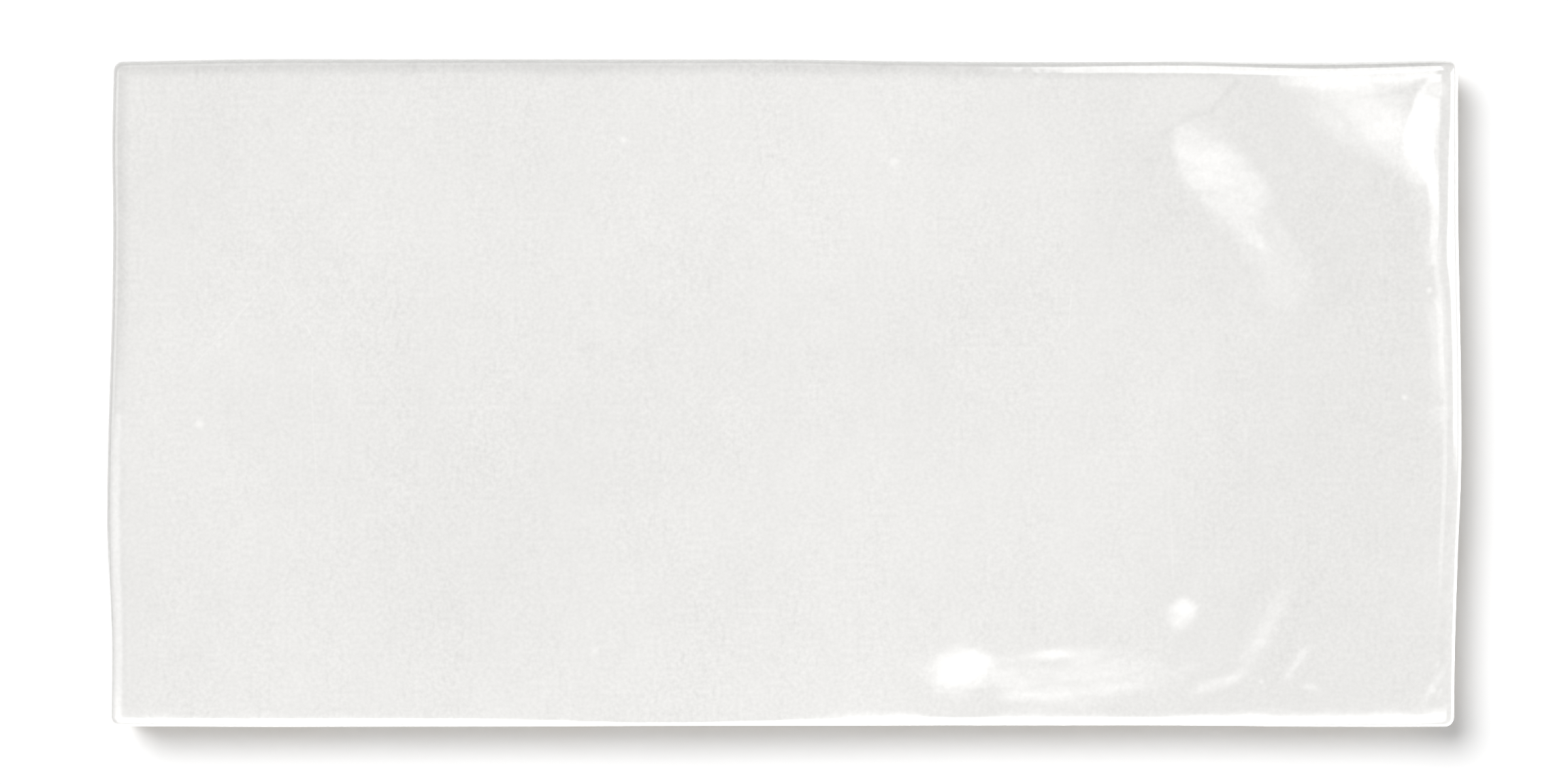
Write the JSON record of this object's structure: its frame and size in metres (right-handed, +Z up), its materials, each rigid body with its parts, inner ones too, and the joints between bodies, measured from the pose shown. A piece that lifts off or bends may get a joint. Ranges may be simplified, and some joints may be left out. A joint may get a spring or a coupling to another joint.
{
  "type": "field tile",
  "caption": "Oblong glazed ceramic wall tile with a wavy hand-pressed face, softly rolled edges, slightly wandering sides and a waffle key on its back.",
  "frame": {"origin": "middle of the back, on the plane that the tile rests on", "axes": "+X along the length, +Y along the width, +Z up out of the glazed face"},
  "size_m": [0.1508, 0.0744, 0.0082],
  "materials": {
    "glaze": "glossy warm white glaze, lightly mottled, over a fired clay body"
  },
  "bodies": {
    "root": {"field_tile": "glaze"}
  },
  "joints": []
}
